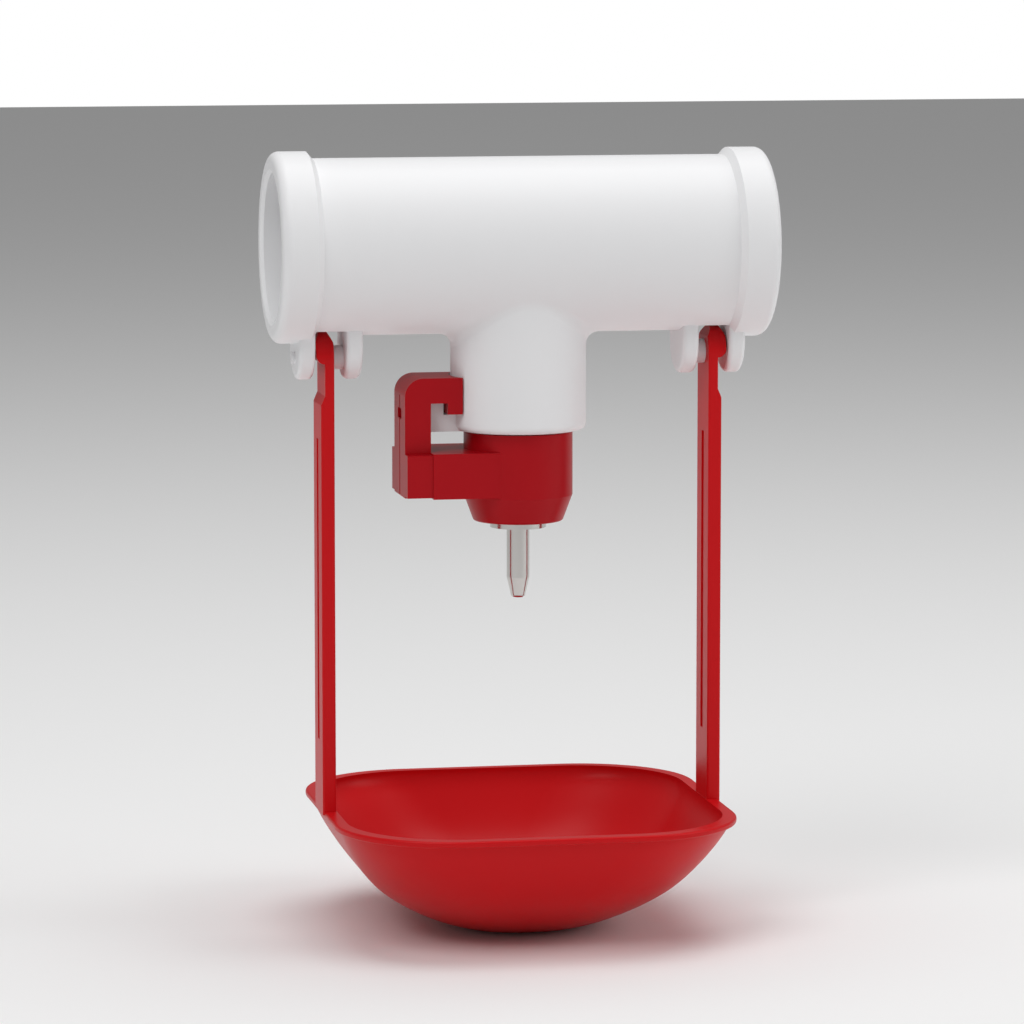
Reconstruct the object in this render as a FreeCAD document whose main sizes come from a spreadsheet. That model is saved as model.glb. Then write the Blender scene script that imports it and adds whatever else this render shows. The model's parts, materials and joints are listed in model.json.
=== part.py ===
import FreeCAD, Part
import Sketcher
import math
import os
from FreeCAD import Placement, Rotation, Vector

# Hanging nipple drinker for poultry: a tee for a 25 mm water pipe, a red nipple valve plugged into
# its branch and latched on a lug, and a drip cup that swings on two arms between the tee's ears.
# Millimetres. Origin where the pipe's axis crosses the branch's axis, +X along the pipe, +Z up.

NODE_FOLDER = "parts"
SIDES = ((1, "Right"), (-1, "Left"))
EDGE_PLAY = 0.01

# name, value, what it is
SIZES = [
    # tee: pipe run
    ("run_length", 85.0, "tee, end to end along the pipe"),
    ("run_dia", 30.0, "outside of the run"),
    ("socket_dia", 25.2, "pipe socket bore at both ends"),
    ("stop_dia", 22.0, "waterway between the pipe stops"),
    ("stop_span", 20.0, "distance between the two pipe stops"),
    ("collar_dia", 32.4, "end collar, outside"),
    ("collar_width", 6.0, "end collar, along the run"),
    ("collar_round", 1.5, "rounding of the collar's outer edge"),
    ("collar_blend", 1.0, "slope from collar down to the run"),
    ("mouth_chamfer", 0.6, "lead-in of each socket"),
    # tee: branch
    ("branch_dia", 23.2, "outside of the branch"),
    ("branch_drop", 31.5, "pipe axis to the branch's lower face"),
    ("branch_bore", 15.2, "bore that takes the nipple"),
    ("branch_blend", 2.2, "fillet between branch and run"),
    ("branch_edge", 1.2, "rounding of the branch's lower edge"),
    # tee: latch lug
    ("lug_reach", 15.75, "branch axis to the lug's end"),
    ("lug_overlap", 1.5, "how deep the lug starts inside the branch's wall"),
    ("lug_width", 5.4, "lug across the pipe"),
    ("lug_height", 4.8, "lug, lower face to tooth top"),
    ("tooth_length", 2.35, "tooth at the lug's end"),
    ("notch_depth", 1.9, "notch behind the tooth"),
    # tee: ears that carry the cup
    ("ear_gap_inner", 30.4, "branch axis to the near side of the ears' gap"),
    ("ear_gap", 5.3, "free room between two ears"),
    ("ear_thickness", 2.8, "each ear, along the pipe"),
    ("ear_width", 11.8, "each ear, across the pipe"),
    ("ear_drop", 22.4, "pipe axis to the ears' lowest point"),
    ("ear_round", 0.8, "rounding of the ears' outline"),
    ("ear_overlap", 0.4, "how far the ears' sketch reaches into the bore"),
    ("roof_drop", 13.85, "pipe axis to the relief above each arm's head"),
    ("pivot_drop", 18.7, "pipe axis to the cup's swing axis"),
    ("pivot_dia", 4.1, "pivot stub on each inner ear"),
    ("pivot_clearance", 0.08, "radial play of the stub in the arm"),
    ("pip_dia", 2.0, "pip on each outer ear"),
    ("pip_height", 0.6, "how far the pip stands out"),
    ("rest_gap", 0.3, "gap between pieces that lie against each other"),
    # cup: arms
    ("arm_stand_off", 1.95, "near ear to an arm's inner face"),
    ("arm_thickness", 2.3, "arm, along the pipe"),
    ("arm_width", 9.0, "arm, across the pipe"),
    ("neck_thickness", 1.6, "arm just below its head"),
    ("neck_length", 6.2, "swing axis to the shoulder under the neck"),
    ("shoulder_slope", 1.6, "height of the shoulder's slope"),
    ("nose_top", 2.8, "swing axis to the top of the nose"),
    ("nose_bottom", 0.8, "swing axis down to the end of the nose's curve"),
    ("head_chamfer", 0.9, "lead-in on the head's inner corner"),
    ("socket_depth", 1.35, "blind hole in each head"),
    ("arm_groove", 1.8, "width of the groove along each arm"),
    ("groove_depth", 0.35, "depth of that groove"),
    ("groove_ends", 12.0, "groove's end to the rim, half of it to the shoulder"),
    ("arm_edge", 0.35, "rounding of the arms' long edges"),
    # cup: bowl
    ("arm_length", 77.4, "swing axis to the rim's top"),
    ("arm_proud", 0.25, "how far an arm's outer face stands out from the rim"),
    ("rim_half_y", 36.0, "half depth of the rim"),
    ("rim_corner", 20.0, "corner radius of the rim"),
    ("rim_lip", 1.0, "how far the rim stands out from the wall"),
    ("rim_thickness", 1.1, "height of the rim"),
    ("rim_round", 0.4, "rounding of the rim's edges"),
    ("bowl_height", 20.9, "rim's top to the foot"),
    ("bowl_wall", 1.2, "wall of the bowl"),
    ("foot_half_x", 10.0, "half width of the flat foot"),
    ("rim_corner_share", 0.58, "bowl's corner under the rim, as a share of its half width"),
    ("foot_corner_share", 0.88, "foot's corner, as a share of its half width"),
    # nipple: cap and spigot
    ("cap_dia", 18.65, "round body below the branch"),
    ("cap_length", 10.9, "its straight part"),
    ("cone_length", 4.5, "cone under it"),
    ("cone_dia", 15.3, "lower end of the cone"),
    ("cap_edge", 0.5, "rounding of the cone's lower edge"),
    ("spigot_clearance", 0.3, "radial play of the spigot in the branch"),
    ("spigot_length", 12.0, "spigot above the cap"),
    ("seal_groove_drop", 6.0, "spigot top to the middle of the seal groove"),
    ("seal_cord", 1.64, "cord of the seal ring"),
    ("seal_clearance", 0.03, "play of the seal ring at rest"),
    ("waterway_dia", 4.8, "passage down the spigot"),
    # nipple: side arm and latch hook
    ("hook_reach", 20.5, "branch axis to the hook's outer face"),
    ("block_width", 16.4, "side arm across the pipe"),
    ("block_top", 2.95, "cap top down to the side arm"),
    ("block_height", 7.7, "side arm, top to bottom"),
    ("panel_step", 0.25, "step between side arm and its end panel"),
    ("hook_width", 11.0, "hook across the pipe"),
    ("hook_bar", 4.3, "thickness of the hook's top bar"),
    ("hook_corner", 3.2, "outer corner of the hook"),
    ("parting_width", 0.7, "groove along the mould's parting line"),
    ("parting_depth", 0.25, "depth of that groove"),
    ("gate_width", 3.6, "gate mark across the pipe"),
    ("gate_height", 1.8, "gate mark, top to bottom"),
    # valve
    ("bush_dia", 8.4, "steel bush"),
    ("press_clearance", 0.05, "radial play of pressed-in steel pieces"),
    ("bush_top", 4.0, "cap top down to the bush"),
    ("bush_length", 10.6, "steel bush, top to bottom"),
    ("upper_chamber_dia", 6.4, "bush above its seat"),
    ("upper_chamber", 2.6, "depth of that chamber"),
    ("upper_seat", 1.2, "height of the conical seat"),
    ("throat_dia", 3.4, "hole through the seat"),
    ("throat_length", 0.8, "length of that hole"),
    ("lower_chamber_dia", 6.6, "bush below its seat"),
    ("ring_dia", 9.6, "flange of the seat ring"),
    ("ring_flange", 1.1, "thickness of that flange"),
    ("ring_spigot", 1.5, "seat ring inside the bush"),
    ("ring_hole", 5.2, "hole for the trigger pin"),
    ("ring_seat", 0.4, "height of the ring's conical seat"),
    ("pin_dia", 3.9, "trigger pin"),
    ("pin_reach", 12.2, "seat ring down to the pin's tip"),
    ("pin_taper", 3.5, "length of the pin's tapered end"),
    ("pin_tip_dia", 2.3, "pin's tip"),
    ("pin_tip_round", 0.55, "rounding of the tip"),
    ("head_dia", 6.0, "trigger pin's head"),
    ("head_height", 1.4, "height of that head"),
    ("plug_dia", 5.6, "head of the upper valve plug"),
    ("plug_stem_dia", 2.7, "stem of the plug"),
    ("plug_height", 1.4, "straight part of the plug's head"),
]


class Length:
    """A number together with the spreadsheet expression that gives it."""

    def __init__(self, number, text):
        self.number = number
        self.text = text

    def joined(self, sign, other, swapped=False):
        first, second = (lift(other), self) if swapped else (self, lift(other))
        number = {
            "+": lambda: first.number + second.number,
            "-": lambda: first.number - second.number,
            "*": lambda: first.number * second.number,
            "/": lambda: first.number / second.number,
        }[sign]()
        return Length(number, f"({first.text} {sign} {second.text})")

    def __add__(self, other):
        return self.joined("+", other)

    def __radd__(self, other):
        return self.joined("+", other, swapped=True)

    def __sub__(self, other):
        return self.joined("-", other)

    def __rsub__(self, other):
        return self.joined("-", other, swapped=True)

    def __mul__(self, other):
        return self.joined("*", other)

    def __rmul__(self, other):
        return self.joined("*", other, swapped=True)

    def __truediv__(self, other):
        return self.joined("/", other)

    def __neg__(self):
        return self.joined("*", -1)


def lift(number):
    """A plain number as a Length."""
    return number if isinstance(number, Length) else Length(float(number), str(number))


class SizeBook:
    """The driving dimensions by name: book.run_dia is the Length of that cell."""

    def __init__(self, document, rows):
        self.sheet = document.addObject("Spreadsheet::Sheet", "Sizes")
        for row, (alias, number, note) in enumerate(rows, start=1):
            self.sheet.set(f"A{row}", note)
            self.sheet.set(f"B{row}", str(number))
            self.sheet.setAlias(f"B{row}", alias)
        document.recompute()

    def __getattr__(self, alias):
        return Length(float(getattr(self.sheet, alias)), f"Sizes.{alias}")


class Arc:
    """An outline's segment that turns about a centre; turn is +1 anticlockwise, -1 clockwise."""

    def __init__(self, x, y, radius, turn):
        self.x, self.y, self.radius, self.turn = lift(x), lift(y), lift(radius), turn


doc = FreeCAD.newDocument("nipple_drinker")
S = SizeBook(doc, SIZES)


def new_body(label, lift_by=None):
    """A body with its own label; lift_by sets its height in the common frame."""
    body = doc.addObject("PartDesign::Body", label)
    body.Label = label
    if lift_by is not None:
        body.Placement = Placement(Vector(0, 0, lift_by.number), Rotation())
        body.setExpression("Placement.Base.z", lift_by.text)
    return body


def origin_part(body, role):
    """The body's own origin plane or axis with this role."""
    return next(part for part in body.Origin.OriginFeatures if part.Role == role)


def new_sketch(body, name, role, offset=None):
    """A sketch on one of the body's origin planes, shifted along its normal by offset."""
    sketch = body.newObject("Sketcher::SketchObject", name)
    sketch.AttachmentSupport = [(origin_part(body, role), "")]
    sketch.MapMode = "FlatFace"
    if offset is not None:
        sketch.AttachmentOffset = Placement(Vector(0, 0, offset.number), Rotation())
        sketch.setExpression("AttachmentOffset.Base.z", offset.text)
    return sketch


def pin_point(sketch, geometry, end, x, y):
    """Hold a point at x and y, where given, from the sketch's origin by the sheet's sizes."""
    for kind, axis, size in (("DistanceX", -2, x), ("DistanceY", -1, y)):
        if size is None:
            continue
        if size.text in ("0", "0.0"):
            sketch.addConstraint(Sketcher.Constraint("PointOnObject", geometry, end, axis))
            continue
        rule = sketch.addConstraint(Sketcher.Constraint(kind, -1, 1, geometry, end, size.number))
        sketch.setExpression(f"Constraints[{rule}]", size.text)


def outline(body, name, role, steps, offset=None):
    """A closed outline: corners (x, y), with an Arc between two corners that a curve joins."""
    corners = [tuple(lift(v) for v in step) for step in steps if not isinstance(step, Arc)]
    curves = []
    for place, step in enumerate(steps):
        if not isinstance(step, Arc):
            after = steps[(place + 1) % len(steps)]
            curves.append(after if isinstance(after, Arc) else None)
    sketch = new_sketch(body, name, role, offset)
    ends = []
    for place, (curve, (x, y)) in enumerate(zip(curves, corners)):
        next_x, next_y = corners[(place + 1) % len(corners)]
        start = Vector(x.number, y.number, 0)
        finish = Vector(next_x.number, next_y.number, 0)
        if curve is None:
            sketch.addGeometry(Part.LineSegment(start, finish), False)
            ends.append((1, 2))
            continue
        centre = Vector(curve.x.number, curve.y.number, 0)
        angles = [math.atan2(p.y - centre.y, p.x - centre.x) for p in (start, finish)]
        if curve.turn < 0:
            angles.reverse()
        circle = Part.Circle(centre, Vector(0, 0, 1), curve.radius.number)
        sketch.addGeometry(Part.ArcOfCircle(circle, *angles), False)
        ends.append((1, 2) if curve.turn > 0 else (2, 1))
    for place in range(len(corners)):
        after = (place + 1) % len(corners)
        joint = Sketcher.Constraint("Coincident", place, ends[place][1], after, ends[after][0])
        sketch.addConstraint(joint)
    for place, (x, y) in enumerate(corners):
        pin_point(sketch, place, ends[place][0], x, y)
        if curves[place] is not None:
            next_x, next_y = corners[(place + 1) % len(corners)]
            flat = abs(next_x.number - x.number) > abs(next_y.number - y.number)
            hold = (None, curves[place].y) if flat else (curves[place].x, None)
            pin_point(sketch, place, 3, *hold)
    return sketch


def disc(body, name, role, x, y, diameter, offset=None):
    """A sketch of one circle."""
    x, y = lift(x), lift(y)
    sketch = new_sketch(body, name, role, offset)
    centre = Vector(x.number, y.number, 0)
    sketch.addGeometry(Part.Circle(centre, Vector(0, 0, 1), diameter.number / 2), False)
    pin_point(sketch, 0, 3, x, y)
    rule = sketch.addConstraint(Sketcher.Constraint("Diameter", 0, diameter.number))
    sketch.setExpression(f"Constraints[{rule}]", diameter.text)
    return sketch


def rounded_rectangle(body, name, half_x, half_y, corner, height):
    """A level rounded rectangle about the Z axis at this height."""
    x, y, r = half_x, half_y, corner
    steps = [
        (x, -(y - r)), (x, y - r), Arc(x - r, y - r, r, 1),
        (x - r, y), (-(x - r), y), Arc(-(x - r), y - r, r, 1),
        (-x, y - r), (-x, -(y - r)), Arc(-(x - r), -(y - r), r, 1),
        (-(x - r), -y), (x - r, -y), Arc(x - r, -(y - r), r, 1),
    ]
    return outline(body, name, "XY_Plane", steps, offset=height)


def feature(body, kind, name, profile, **settings):
    """A PartDesign feature made from a sketch; a Length setting is bound to the sheet."""
    made = body.newObject(f"PartDesign::{kind}", name)
    made.Profile = profile
    for key, setting in settings.items():
        if isinstance(setting, Length):
            setattr(made, key, setting.number)
            made.setExpression(key, setting.text)
        else:
            setattr(made, key, setting)
    profile.Visibility = False
    doc.recompute()
    return made


def both_sides(body, name, profile, width):
    """A pad of this width, half of it each side of the sketch's plane."""
    return feature(body, "Pad", name, profile, Length=width, Midplane=True)


def turned(body, name, profile, axis="V_Axis"):
    """A solid of revolution about one of its sketch's own axes."""
    return feature(body, "Revolution", name, profile, ReferenceAxis=(profile, [axis]), Angle=360.0)


def turned_cut(body, name, profile, axis="V_Axis"):
    """A cut of revolution about one of its sketch's own axes."""
    return feature(body, "Groove", name, profile, ReferenceAxis=(profile, [axis]), Angle=360.0)


def rounded(body, name, radius, test):
    """A fillet on every edge that passes the test."""
    made = body.newObject("PartDesign::Fillet", name)
    base = made.BaseFeature
    names = [f"Edge{n}" for n, edge in enumerate(base.Shape.Edges, start=1) if test(edge)]
    if not names:
        raise RuntimeError(f"no edge to round for {name}")
    made.Base = (base, names)
    made.Radius = radius.number
    made.setExpression("Radius", radius.text)
    doc.recompute()
    return made


def near(a, b, tolerance=1e-4):
    return abs(a - b) < tolerance


def circle_at(edge, radius, axis, place):
    """Whether an edge is a circle of this radius whose centre lies at place along the axis."""
    curve = edge.Curve
    if not isinstance(curve, Part.Circle):
        return False
    centre = {"x": curve.Center.x, "y": curve.Center.y, "z": curve.Center.z}[axis]
    return near(curve.Radius, radius) and near(centre, place)


def samples(edge, count=5):
    """Points spread along an edge."""
    first, last = edge.ParameterRange
    return [edge.valueAt(first + (last - first) * (n + 0.5) / count) for n in range(count)]


def tee_fitting():
    """The white moulded tee: run, collars, branch, latch lug and the four ears."""
    body = new_body("tee_fitting")
    half = S.run_length / 2
    run, collar = S.run_dia / 2, S.collar_dia / 2
    shoulder = half - S.collar_width
    run_start = shoulder - S.collar_blend
    profile = outline(body, "RunOutline", "XZ_Plane", [
        (-half, 0), (half, 0), (half, collar), (shoulder, collar), (run_start, run),
        (-run_start, run), (-shoulder, collar), (-half, collar),
    ])
    turned(body, "Run", profile, axis="H_Axis")
    end_radius, end_place = collar.number, half.number
    rounded(body, "CollarRound", S.collar_round,
            lambda edge: circle_at(edge, end_radius, "x", end_place)
            or circle_at(edge, end_radius, "x", -end_place))

    branch = disc(body, "BranchCircle", "XY_Plane", 0, 0, S.branch_dia)
    feature(body, "Pad", "Branch", branch, Length=S.branch_drop, Reversed=True)
    run_radius, branch_radius = run.number, S.branch_dia.number / 2

    def on_both(edge):
        return all(near(math.hypot(p.x, p.y), branch_radius, 0.01)
                   and near(math.hypot(p.y, p.z), run_radius, 0.01) for p in samples(edge))

    rounded(body, "BranchBlend", S.branch_blend, on_both)
    lower_face = -S.branch_drop.number
    rounded(body, "BranchEdge", S.branch_edge,
            lambda edge: circle_at(edge, branch_radius, "z", lower_face))

    lug_low = -S.branch_drop
    tooth_top = lug_low + S.lug_height
    tooth_inner = S.lug_reach - S.tooth_length
    lug_root = S.branch_dia / 2 - S.lug_overlap
    lug = outline(body, "LugOutline", "XZ_Plane", [
        (-S.lug_reach, lug_low), (-S.lug_reach, tooth_top), (-tooth_inner, tooth_top),
        (-tooth_inner, tooth_top - S.notch_depth), (-lug_root, tooth_top - S.notch_depth),
        (-lug_root, lug_low),
    ])
    both_sides(body, "Lug", lug, S.lug_width)

    ear_radius = S.ear_width / 2
    ear_centre = -(S.ear_drop - ear_radius)
    ear_root = -(S.socket_dia / 2 - S.ear_overlap)
    ear_start = S.ear_gap_inner - S.ear_thickness
    ear_gap_outer = S.ear_gap_inner + S.ear_gap
    for side, hand in SIDES:
        for name, start in (("Inner", ear_start), ("Outer", ear_gap_outer)):
            shape = outline(body, f"{hand}{name}EarOutline", "YZ_Plane", [
                (-ear_radius, ear_root), (-ear_radius, ear_centre),
                Arc(0, ear_centre, ear_radius, 1), (ear_radius, ear_centre),
                (ear_radius, ear_root),
            ], offset=side * start)
            feature(body, "Pad", f"{hand}{name}Ear", shape, Length=S.ear_thickness,
                    Reversed=side < 0)
    reach = ear_start.number

    def ear_rim(edge):
        points = samples(edge)
        level = all(near(p.x, points[0].x) for p in points)
        free = all(math.hypot(p.y, p.z) > run_radius + EDGE_PLAY for p in points)
        below = all(p.z < 0 for p in points)
        spread = [math.hypot(p.y, p.z) for p in points]
        return level and free and below and not near(max(spread), min(spread)) \
            and abs(points[0].x) > reach - EDGE_PLAY

    rounded(body, "EarRound", S.ear_round, ear_rim)

    stub_reach = S.arm_stand_off + S.socket_depth - S.rest_gap
    for side, hand in SIDES:
        roof = outline(body, f"{hand}RoofOutline", "YZ_Plane", [
            (-S.ear_width, -S.collar_dia / 2), (S.ear_width, -S.collar_dia / 2),
            (S.ear_width, -S.roof_drop), (-S.ear_width, -S.roof_drop),
        ], offset=side * S.ear_gap_inner)
        feature(body, "Pocket", f"{hand}Roof", roof, Length=S.ear_gap, Reversed=side > 0)
        stub = disc(body, f"{hand}StubCircle", "YZ_Plane", 0, -S.pivot_drop, S.pivot_dia,
                    offset=side * S.ear_gap_inner)
        feature(body, "Pad", f"{hand}PivotStub", stub, Length=stub_reach, Reversed=side < 0)
        pip = disc(body, f"{hand}PipCircle", "YZ_Plane", 0, -S.pivot_drop, S.pip_dia,
                   offset=side * (ear_gap_outer + S.ear_thickness))
        feature(body, "Pad", f"{hand}Pip", pip, Length=S.pip_height, Reversed=side < 0)

    socket, stop = S.socket_dia / 2, S.stop_dia / 2
    mouth = socket + S.mouth_chamfer
    stop_place = S.stop_span / 2
    bore = outline(body, "BoreOutline", "XZ_Plane", [
        (-half, 0), (half, 0), (half, mouth), (half - S.mouth_chamfer, socket),
        (stop_place, socket), (stop_place, stop), (-stop_place, stop), (-stop_place, socket),
        (-(half - S.mouth_chamfer), socket), (-half, mouth),
    ])
    turned_cut(body, "Bore", bore, axis="H_Axis")
    seat = disc(body, "BranchBoreCircle", "XY_Plane", 0, 0, S.branch_bore)
    feature(body, "Pocket", "BranchBore", seat, Type="ThroughAll")
    return body


def arm_and_head(body, side, hand):
    """One arm of the cup's bail; side is +1 for the arm at +X, -1 for its twin."""
    inner = S.ear_gap_inner + S.arm_stand_off
    outer, neck = inner + S.arm_thickness, inner + S.neck_thickness
    nose = S.ear_gap_inner + S.ear_gap - S.rest_gap
    crown = S.arm_width / 2
    shoulder = -S.neck_length
    foot = -(S.arm_length + S.rim_thickness / 2)
    nose_reach = nose - neck
    profile = outline(body, f"{hand}ArmOutline", "XZ_Plane", [
        (side * inner, foot), (side * outer, foot),
        (side * outer, shoulder - S.shoulder_slope), (side * neck, shoulder),
        (side * neck, -S.nose_bottom),
        Arc(side * neck, -S.nose_bottom + nose_reach, nose_reach, side),
        (side * nose, -S.nose_bottom + nose_reach), (side * nose, S.nose_top),
        (side * (neck + nose_reach / 2), crown), (side * (inner + S.head_chamfer), crown),
        (side * inner, crown - 2 * S.head_chamfer),
    ])
    both_sides(body, f"{hand}Arm", profile, S.arm_width)

    beyond = 2 * crown
    trim = outline(body, f"{hand}HeadTrim", "YZ_Plane", [
        (-crown, 0), (-beyond, 0), (-beyond, beyond), (beyond, beyond),
        (beyond, 0), (crown, 0), Arc(0, 0, crown, 1), (0, crown), Arc(0, 0, crown, 1),
    ], offset=side * (inner - S.arm_thickness))
    feature(body, "Pocket", f"{hand}HeadRound", trim, Length=3 * S.arm_thickness,
            Reversed=side > 0)

    hole = disc(body, f"{hand}HeadHoleCircle", "YZ_Plane", 0, 0,
                S.pivot_dia + 2 * S.pivot_clearance, offset=side * inner)
    feature(body, "Pocket", f"{hand}HeadHole", hole, Length=S.socket_depth, Reversed=side > 0)

    low = -(S.arm_length - S.groove_ends)
    high = shoulder - S.shoulder_slope - S.groove_ends / 2
    half = S.arm_groove / 2
    for name, place in (("Inner", inner), ("Outer", outer - S.groove_depth)):
        shape = outline(body, f"{hand}{name}GrooveOutline", "YZ_Plane", [
            (-half, low), (half, low), (half, high), (-half, high)], offset=side * place)
        feature(body, "Pocket", f"{hand}{name}Groove", shape, Length=S.groove_depth,
                Reversed=side > 0)


def drip_cup():
    """The red moulded cup: a rounded bowl with a rim and two arms, its origin on the swing axis."""
    body = new_body("drip_cup", lift_by=-S.pivot_drop)
    rim = -S.arm_length
    under_rim = rim - S.rim_thickness
    floor = rim - S.bowl_height
    rim_half_x = S.ear_gap_inner + S.arm_stand_off + S.arm_thickness - S.arm_proud
    wall_x, wall_y = rim_half_x - S.rim_lip, S.rim_half_y - S.rim_lip
    drop = S.bowl_height - S.rim_thickness
    deepen = S.rim_half_y / rim_half_x

    # share of the bowl's depth, share of its half width
    stations = [(0.0, 1.0), (0.16, 0.96), (0.36, 0.888), (0.57, 0.787), (0.77, 0.63), (0.915, 0.46)]

    def ring(name, x, y, height, depth):
        share = S.rim_corner_share + (S.foot_corner_share - S.rim_corner_share) * depth
        return rounded_rectangle(body, name, x, y, x * share, height)

    outer_rings, inner_rings = [], []
    for number, (depth, width) in enumerate(stations):
        height = under_rim - depth * drop
        outer_rings.append(ring(f"Outside{number}", wall_x * width, wall_y * width, height, depth))
    foot = S.foot_half_x
    outer_rings.append(ring("Foot", foot, foot * deepen, floor, 1))
    bowl = feature(body, "AdditiveLoft", "Bowl", outer_rings[0], Sections=outer_rings[1:])

    plate = rounded_rectangle(body, "RimOutline", rim_half_x, S.rim_half_y, S.rim_corner, under_rim)
    feature(body, "Pad", "Rim", plate, Length=S.rim_thickness)
    top, bottom = rim.number, under_rim.number
    half_lip = S.rim_lip.number / 2
    reach_x, reach_y = wall_x.number + half_lip, wall_y.number + half_lip

    def rim_edge(edge):
        points = samples(edge)
        level = all(near(p.z, top) or near(p.z, bottom) for p in points)
        return level and any(abs(p.x) > reach_x or abs(p.y) > reach_y for p in points)

    rounded(body, "RimRound", S.rim_round, rim_edge)
    for side, hand in SIDES:
        arm_and_head(body, side, hand)
    arm_side, long_edge = S.arm_width.number / 2, S.arm_length.number / 2
    rounded(body, "ArmEdges", S.arm_edge, lambda edge: edge.Length > long_edge
            and all(near(abs(p.y), arm_side) for p in samples(edge)))

    inner_x, inner_y = wall_x - S.bowl_wall, wall_y - S.bowl_wall
    inner_rings.append(ring("Mouth", inner_x, inner_y, rim, 0))
    for number, (depth, width) in enumerate(stations):
        height = under_rim - depth * (drop - S.bowl_wall)
        x, y = wall_x * width - S.bowl_wall, wall_y * width - S.bowl_wall
        inner_rings.append(ring(f"Inside{number}", x, y, height, depth))
    base = foot - S.bowl_wall / 2
    inner_rings.append(ring("InsideFloor", base, base * deepen, floor + S.bowl_wall, 1))
    feature(body, "SubtractiveLoft", "Hollow", inner_rings[0], Sections=inner_rings[1:])
    return body


def nipple_body():
    """The red moulded nipple: cap, spigot with seal groove, side arm and latch hook."""
    cap_top = -(S.branch_drop + S.rest_gap)
    body = new_body("nipple_body", lift_by=cap_top)
    # heights in this body count from the cap's upper face
    tooth_top = S.lug_height + S.rest_gap
    under_bar = tooth_top + S.rest_gap
    lip_low = under_bar - S.notch_depth
    top = under_bar + S.hook_bar
    block_high = -S.block_top
    block_low = block_high - S.block_height
    panel_end = S.lug_reach + S.rest_gap
    lip_outer = S.lug_reach - S.tooth_length - S.rest_gap
    root = S.bush_dia / 2
    reach, corner = S.hook_reach, S.hook_corner
    hook = outline(body, "HookOutline", "XZ_Plane", [
        (-reach, block_low), (-root, block_low), (-root, block_high), (-panel_end, block_high),
        (-panel_end, under_bar), (-lip_outer, under_bar), (-lip_outer, lip_low),
        (-root, lip_low), (-root, top), (-(reach - corner), top),
        Arc(-(reach - corner), top - corner, corner, 1), (-reach, top - corner),
    ])
    both_sides(body, "Hook", hook, S.hook_width)
    face = disc(body, "BranchFaceCircle", "XY_Plane", 0, 0, S.branch_dia + 2 * S.rest_gap)
    feature(body, "Pocket", "BranchFace", face, Length=2 * top, Reversed=True)

    panel = outline(body, "PanelOutline", "XZ_Plane", [
        (-reach, block_low + S.panel_step), (-root, block_low + S.panel_step),
        (-root, block_high - S.panel_step), (-reach, block_high - S.panel_step)])
    both_sides(body, "Panel", panel, S.block_width - 2 * S.panel_step)
    block = outline(body, "BlockOutline", "XZ_Plane", [
        (-panel_end, block_low), (-root, block_low), (-root, block_high), (-panel_end, block_high)])
    both_sides(body, "Block", block, S.block_width)

    cap, spigot = S.cap_dia / 2, S.branch_bore / 2 - S.spigot_clearance
    cone = S.cone_dia / 2
    cone_start = -S.cap_length
    cone_end = cone_start - S.cone_length
    seal_middle = S.spigot_length - S.seal_groove_drop
    groove_half = S.seal_cord / 2 + S.rest_gap
    groove_floor = S.branch_bore / 2 - S.seal_cord - 2 * S.seal_clearance
    lead = S.spigot_clearance * 2
    cap_outline = outline(body, "CapOutline", "XZ_Plane", [
        (0, cone_end), (cone, cone_end), (cap, cone_start), (cap, 0), (spigot, 0),
        (spigot, seal_middle - groove_half), (groove_floor, seal_middle - groove_half),
        (groove_floor, seal_middle + groove_half), (spigot, seal_middle + groove_half),
        (spigot, S.spigot_length - lead), (spigot - lead, S.spigot_length), (0, S.spigot_length),
    ])
    turned(body, "Cap", cap_outline)
    cone_radius, cone_place = cone.number, cone_end.number
    rounded(body, "CapEdge", S.cap_edge, lambda edge: circle_at(edge, cone_radius, "z", cone_place))

    way, bush = S.waterway_dia / 2, S.bush_dia / 2 + S.press_clearance
    passage = outline(body, "PassageOutline", "XZ_Plane", [
        (0, cone_end), (bush, cone_end), (bush, -S.bush_top + S.rest_gap),
        (way, -S.bush_top + S.rest_gap), (way, S.spigot_length), (0, S.spigot_length),
    ])
    turned_cut(body, "Passage", passage)

    half = S.parting_width / 2
    parting = outline(body, "PartingOutline", "XY_Plane", [
        (-reach, -half), (-(reach - S.parting_depth), -half),
        (-(reach - S.parting_depth), half), (-reach, half)], offset=block_low)
    feature(body, "Pocket", "Parting", parting, Length=top - corner - block_low, Reversed=True)
    gate_middle = (top + block_high) / 2
    gate = outline(body, "GateOutline", "YZ_Plane", [
        (-S.gate_width / 2, gate_middle - S.gate_height / 2),
        (S.gate_width / 2, gate_middle - S.gate_height / 2),
        (S.gate_width / 2, gate_middle + S.gate_height / 2),
        (-S.gate_width / 2, gate_middle + S.gate_height / 2)], offset=-reach)
    feature(body, "Pocket", "GateMark", gate, Length=2 * S.parting_depth, Reversed=True)
    return body


def branch_seal():
    """The rubber ring in the spigot's groove."""
    body = new_body("branch_seal", lift_by=-(S.branch_drop + S.rest_gap))
    middle = S.branch_bore / 2 - S.seal_clearance - S.seal_cord / 2
    ring = disc(body, "CordCircle", "XZ_Plane", middle, S.spigot_length - S.seal_groove_drop,
                S.seal_cord)
    turned(body, "SealRing", ring)
    return body


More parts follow.
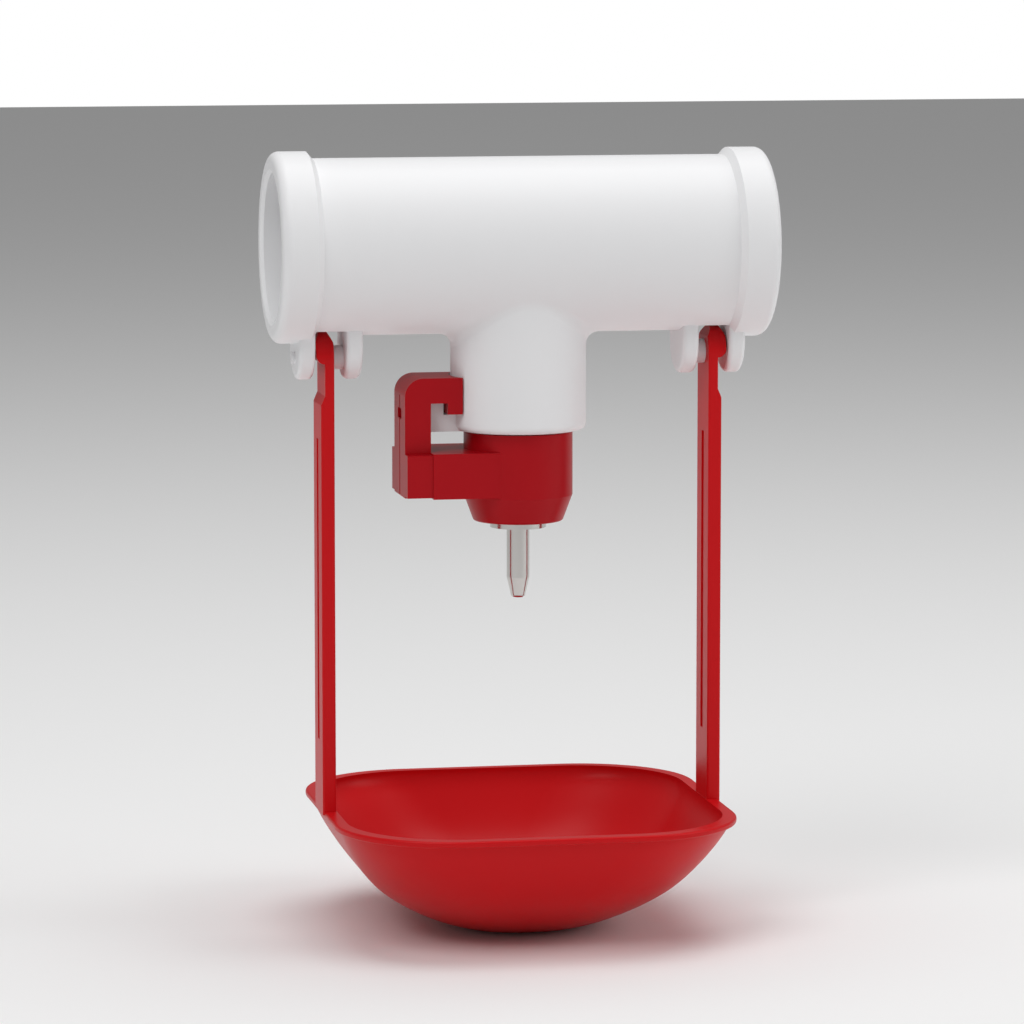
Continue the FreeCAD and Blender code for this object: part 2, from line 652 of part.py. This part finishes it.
def valve_bush():
    """The steel bush pressed into the cap: upper chamber, conical seat, throat, lower chamber."""
    body = new_body("valve_bush", lift_by=-(S.branch_drop + S.rest_gap))
    outside = S.bush_dia / 2
    top = -S.bush_top
    seat_top = top - S.upper_chamber
    throat_top = seat_top - S.upper_seat
    throat_end = throat_top - S.throat_length
    profile = outline(body, "BushOutline", "XZ_Plane", [
        (S.upper_chamber_dia / 2, top), (S.upper_chamber_dia / 2, seat_top),
        (S.throat_dia / 2, throat_top), (S.throat_dia / 2, throat_end),
        (S.lower_chamber_dia / 2, throat_end), (S.lower_chamber_dia / 2, top - S.bush_length),
        (outside, top - S.bush_length), (outside, top),
    ])
    turned(body, "Bush", profile)
    return body


def seat_ring():
    """The steel ring under the cap that keeps the trigger pin in and carries its seat."""
    body = new_body("seat_ring", lift_by=-(S.branch_drop + S.rest_gap))
    under_cap = -(S.cap_length + S.cone_length) - S.press_clearance
    neck_top = -S.bush_top - S.bush_length - S.press_clearance
    top = neck_top + S.ring_spigot
    spigot = S.lower_chamber_dia / 2 - S.press_clearance
    hole = S.ring_hole / 2
    profile = outline(body, "RingOutline", "XZ_Plane", [
        (hole, under_cap - S.ring_flange), (S.ring_dia / 2, under_cap - S.ring_flange),
        (S.ring_dia / 2, under_cap), (S.bush_dia / 2, under_cap), (S.bush_dia / 2, neck_top),
        (spigot, neck_top), (spigot, top), (hole + S.ring_seat, top), (hole, top - S.ring_seat),
    ])
    turned(body, "Ring", profile)
    return body


def head_underside():
    """Height of the pin's head at rest, below the cap's upper face."""
    ring_top = -S.bush_top - S.bush_length - S.press_clearance + S.ring_spigot
    return ring_top + S.rest_gap


def trigger_pin():
    """The steel pin that birds push; its origin is at the underside of its head."""
    body = new_body("trigger_pin", lift_by=head_underside() - (S.branch_drop + S.rest_gap))
    flange_low = -(S.cap_length + S.cone_length) - S.press_clearance - S.ring_flange
    tip = flange_low - S.pin_reach - head_underside()
    shank, head = S.pin_dia / 2, S.head_dia / 2
    seat = S.ring_seat
    profile = outline(body, "PinOutline", "XZ_Plane", [
        (0, tip), (S.pin_tip_dia / 2, tip), (shank, tip + S.pin_taper), (shank, 0),
        (head - seat * 2, 0), (head, seat), (head, S.head_height), (0, S.head_height),
    ])
    turned(body, "Pin", profile)
    tip_radius, tip_place = S.pin_tip_dia.number / 2, tip.number
    rounded(body, "TipRound", S.pin_tip_round, lambda edge: circle_at(edge, tip_radius, "z", tip_place))
    return body


def valve_plug():
    """The loose steel plug on the upper seat, lifted by the pin's head."""
    body = new_body("valve_plug", lift_by=-(S.branch_drop + S.rest_gap))
    throat_top = -S.bush_top - S.upper_chamber - S.upper_seat
    wide, stem = S.plug_dia / 2, S.plug_stem_dia / 2
    slope = S.upper_seat / ((S.upper_chamber_dia - S.throat_dia) / 2)
    cone_end = throat_top + S.rest_gap
    cone_start = cone_end + slope * (wide - stem)
    stem_end = head_underside() + S.head_height + S.rest_gap
    profile = outline(body, "PlugOutline", "XZ_Plane", [
        (0, stem_end), (stem, stem_end), (stem, cone_end), (wide, cone_start),
        (wide, cone_start + S.plug_height), (0, cone_start + S.plug_height),
    ])
    turned(body, "Plug", profile)
    return body


def write_parts(bodies):
    """Check every object, then write each body's shape under its label."""
    doc.recompute()
    failed = [o.Name for o in doc.Objects if "Invalid" in o.State or "Error" in o.State]
    if failed:
        raise RuntimeError("failed: " + ", ".join(failed))
    for body in bodies:
        shape = body.Shape
        if shape.isNull() or not shape.isValid() or len(shape.Solids) != 1:
            raise RuntimeError(f"{body.Label} is not one valid solid")
    os.makedirs(NODE_FOLDER, exist_ok=True)
    for body in bodies:
        body.Shape.exportStep(f"{NODE_FOLDER}/{body.Label}.step")
        print(body.Label, round(body.Shape.Volume, 1))


BUILDERS = [tee_fitting, drip_cup, nipple_body, branch_seal, valve_bush, seat_ring, trigger_pin,
            valve_plug]
write_parts([build() for build in BUILDERS])
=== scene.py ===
"""Looks of the hanging nipple drinker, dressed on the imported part.

Metres throughout, in the part's own frame: the origin is where the pipe's axis crosses the
branch's axis, +X runs along the pipe and +Z is up.
"""

import json
import logging
import math
from dataclasses import dataclass
from enum import Enum

import bpy
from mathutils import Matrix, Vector


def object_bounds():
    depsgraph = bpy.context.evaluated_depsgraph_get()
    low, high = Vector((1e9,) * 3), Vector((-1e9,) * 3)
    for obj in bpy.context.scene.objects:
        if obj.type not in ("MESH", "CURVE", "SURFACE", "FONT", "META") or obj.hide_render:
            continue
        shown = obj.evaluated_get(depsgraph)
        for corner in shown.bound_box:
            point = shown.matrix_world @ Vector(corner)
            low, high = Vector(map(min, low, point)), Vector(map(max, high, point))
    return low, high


logging.basicConfig(level=logging.INFO, format="%(levelname)s %(message)s")
log = logging.getLogger("nipple_drinker")

MM = 0.001
Colour = tuple[float, float, float]
Point = tuple[float, float, float]

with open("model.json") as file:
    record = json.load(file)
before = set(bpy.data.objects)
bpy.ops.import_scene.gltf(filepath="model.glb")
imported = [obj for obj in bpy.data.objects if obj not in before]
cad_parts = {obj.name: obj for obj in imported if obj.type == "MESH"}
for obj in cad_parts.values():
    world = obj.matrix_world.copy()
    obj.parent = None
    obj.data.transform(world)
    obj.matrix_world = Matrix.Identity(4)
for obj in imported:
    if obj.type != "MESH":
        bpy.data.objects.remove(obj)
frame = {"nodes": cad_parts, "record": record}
size_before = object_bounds()


class Slot(Enum):
    """The plastics, metal and rubber that the drinker is made of, by their slot in the record."""

    MILKY = "white_plastic"
    CUP_RED = "red_cup_plastic"
    NIPPLE_RED = "red_nipple_plastic"
    STEEL = "stainless"
    RUBBER = "seal_rubber"


@dataclass(frozen=True)
class Finish:
    """A plain surface of one colour and one gloss.

    Attributes:
        colour: base colour, linear red, green and blue.
        roughness: 0 for a mirror, 1 for chalk.
        metallic: 1 for bare metal, 0 for anything else.
        specular: strength of the reflection that lies over the colour.
    """

    colour: Colour
    roughness: float = 0.35
    metallic: float = 0.0
    specular: float = 0.15

    def material(self, name: str) -> bpy.types.Material:
        """Make a material of this finish.

        Args:
            name: what the material is called.

        Returns:
            The new material.
        """
        material = bpy.data.materials.new(name)
        material.use_nodes = True
        surface = material.node_tree.nodes["Principled BSDF"].inputs
        surface["Base Color"].default_value = (*self.colour, 1)
        surface["Roughness"].default_value = self.roughness
        surface["Metallic"].default_value = self.metallic
        surface["Specular IOR Level"].default_value = self.specular
        return material


FINISHES: dict[Slot, Finish] = {
    Slot.MILKY: Finish((0.86, 0.86, 0.87)),
    Slot.CUP_RED: Finish((0.6, 0.005, 0.008)),
    Slot.NIPPLE_RED: Finish((0.42, 0.003, 0.008)),
    Slot.STEEL: Finish((0.6, 0.58, 0.56), roughness=0.2, metallic=1.0),
    Slot.RUBBER: Finish((0.03, 0.03, 0.03)),
}


def slot_of(piece: str) -> Slot:
    """Look up the material slot that the record gives a piece.

    Args:
        piece: the name of the piece's node.

    Returns:
        The slot.
    """
    for subpart in frame["record"]["subparts"]:
        if subpart["node"] == piece:
            return Slot(subpart["material_slot"])
    raise KeyError(f"no subpart in the record has the node {piece}")


@dataclass(frozen=True)
class SubAssembly:
    """Pieces that belong together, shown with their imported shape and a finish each.

    Attributes:
        title: what the group is called in the log.
        pieces: the names of the pieces' nodes.
    """

    title: str
    pieces: tuple[str, ...]

    def dress(self) -> None:
        """Give each piece the finish of its slot."""
        for piece in self.pieces:
            slot = slot_of(piece)
            materials = frame["nodes"][piece].data.materials
            materials.clear()
            materials.append(FINISHES[slot].material("m_" + piece))
            log.info("%s: %s has the finish %s", self.title, piece, slot.value)


TEE = SubAssembly("tee", ("tee_fitting",))
CUP = SubAssembly("cup", ("drip_cup",))
NIPPLE = SubAssembly("nipple", ("nipple_body", "branch_seal"))
VALVE = SubAssembly("valve", ("valve_bush", "seat_ring", "trigger_pin", "valve_plug"))


@dataclass(frozen=True)
class SoftLamp:
    """A round area lamp, turned to the middle of the drinker.

    Attributes:
        name: what the lamp is called.
        place: its centre.
        size: its diameter.
        watts: its power.
        aim: the point that it faces.
    """

    name: str
    place: Point
    size: float
    watts: float
    aim: Point = (0.0, 0.0, -0.05)

    def build(self) -> None:
        """Add the lamp to the scene."""
        data = bpy.data.lights.new(self.name, "AREA")
        data.shape = "DISK"
        data.size = self.size
        data.energy = self.watts
        lamp = bpy.data.objects.new(self.name, data)
        bpy.context.scene.collection.objects.link(lamp)
        lamp.location = self.place
        toward = Vector(self.aim) - Vector(self.place)
        lamp.rotation_euler = toward.to_track_quat("-Z", "Y").to_euler()
        log.info("lamp: %s", self.name)


@dataclass(frozen=True)
class StudioCamera:
    """The camera, set by how it looks at one point of the drinker.

    Attributes:
        target_mm: the point that it faces, in millimetres.
        azimuth: degrees round from the front, negative to the left.
        elevation: degrees above level.
        distance: from the target.
        lens: focal length, in millimetres.
        sensor_width: in millimetres.
        clip: nearest and farthest distance that it sees.
    """

    target_mm: Point = (-1.05, 0.0, -45.86)
    azimuth: float = -10.7
    elevation: float = 7.1
    distance: float = 0.9
    lens: float = 184.84453
    sensor_width: float = 36.0
    clip: tuple[float, float] = (0.01, 20.0)

    def build(self) -> None:
        """Add the camera and let the scene look through it."""
        data = bpy.data.cameras.new("camera")
        camera = bpy.data.objects.new("camera", data)
        scene = bpy.context.scene
        scene.collection.objects.link(camera)
        scene.camera = camera
        data.sensor_width = self.sensor_width
        data.lens = self.lens
        data.clip_start, data.clip_end = self.clip

        around, up = math.radians(self.azimuth), math.radians(self.elevation)
        level = math.cos(up)
        back = Vector((math.sin(around) * level, -math.cos(around) * level, math.sin(up)))
        camera.location = Vector(self.target_mm) * MM + back * self.distance
        camera.rotation_mode = "QUATERNION"
        camera.rotation_quaternion = (-back).to_track_quat("-Z", "Y")


@dataclass(frozen=True)
class Studio:
    """The surroundings: a white backdrop, a pale floor under the cup and soft lamps.

    Attributes:
        ambient: strength of the light that comes from all round.
        backdrop: brightness of what the camera sees behind the drinker.
        floor_size: side of the square floor.
        floor_gap: from the floor up to the drinker's lowest point.
        floor_finish: the floor's surface.
        lamps: the lamps.
        camera: the camera.
    """

    ambient: float = 0.28
    backdrop: float = 1.0
    floor_size: float = 6.0
    floor_gap: float = 0.0003
    floor_finish: Finish = Finish((0.9, 0.9, 0.9), roughness=0.9, specular=0.5)
    lamps: tuple[SoftLamp, ...] = (
        SoftLamp("key", (-0.5, -0.5, 0.7), 0.6, 3.2),
        SoftLamp("top", (0.1, 0.1, 0.9), 0.9, 5.0),
        SoftLamp("right", (0.7, -0.3, 0.3), 0.5, 1.5),
    )
    camera: StudioCamera = StudioCamera()

    def build_world(self) -> None:
        """Light the scene from all round, and show the camera a white backdrop."""
        scene = bpy.context.scene
        world = bpy.data.worlds.new("Studio")
        scene.world = world
        world.use_nodes = True
        scene.view_settings.view_transform = "Standard"
        nodes, links = world.node_tree.nodes, world.node_tree.links
        nodes.clear()
        output = nodes.new("ShaderNodeOutputWorld")
        path = nodes.new("ShaderNodeLightPath")
        mix = nodes.new("ShaderNodeMixShader")
        links.new(path.outputs["Is Camera Ray"], mix.inputs[0])
        for slot, strength in ((1, self.ambient), (2, self.backdrop)):
            light = nodes.new("ShaderNodeBackground")
            light.inputs["Color"].default_value = (1, 1, 1, 1)
            light.inputs["Strength"].default_value = strength
            links.new(light.outputs[0], mix.inputs[slot])
        links.new(mix.outputs[0], output.inputs["Surface"])

    def build_floor(self) -> None:
        """Lay the floor just under the drinker."""
        lowest = size_before[0].z
        bpy.ops.mesh.primitive_plane_add(
            size=self.floor_size, location=(0, 0, lowest - self.floor_gap))
        floor = bpy.context.object
        floor.name = "floor"
        floor.data.materials.append(self.floor_finish.material("floor_white"))
        log.info("floor: laid at %.4f m", lowest - self.floor_gap)

    def build_lamps(self) -> None:
        """Add every lamp."""
        for lamp in self.lamps:
            lamp.build()


def main() -> None:
    """Dress the part and set up the studio."""
    studio = Studio()
    studio.build_world()
    studio.build_floor()
    studio.camera.build()
    for group in (TEE, CUP, NIPPLE, VALVE):
        group.dress()
    studio.build_lamps()


if __name__ == "__main__":
    main()
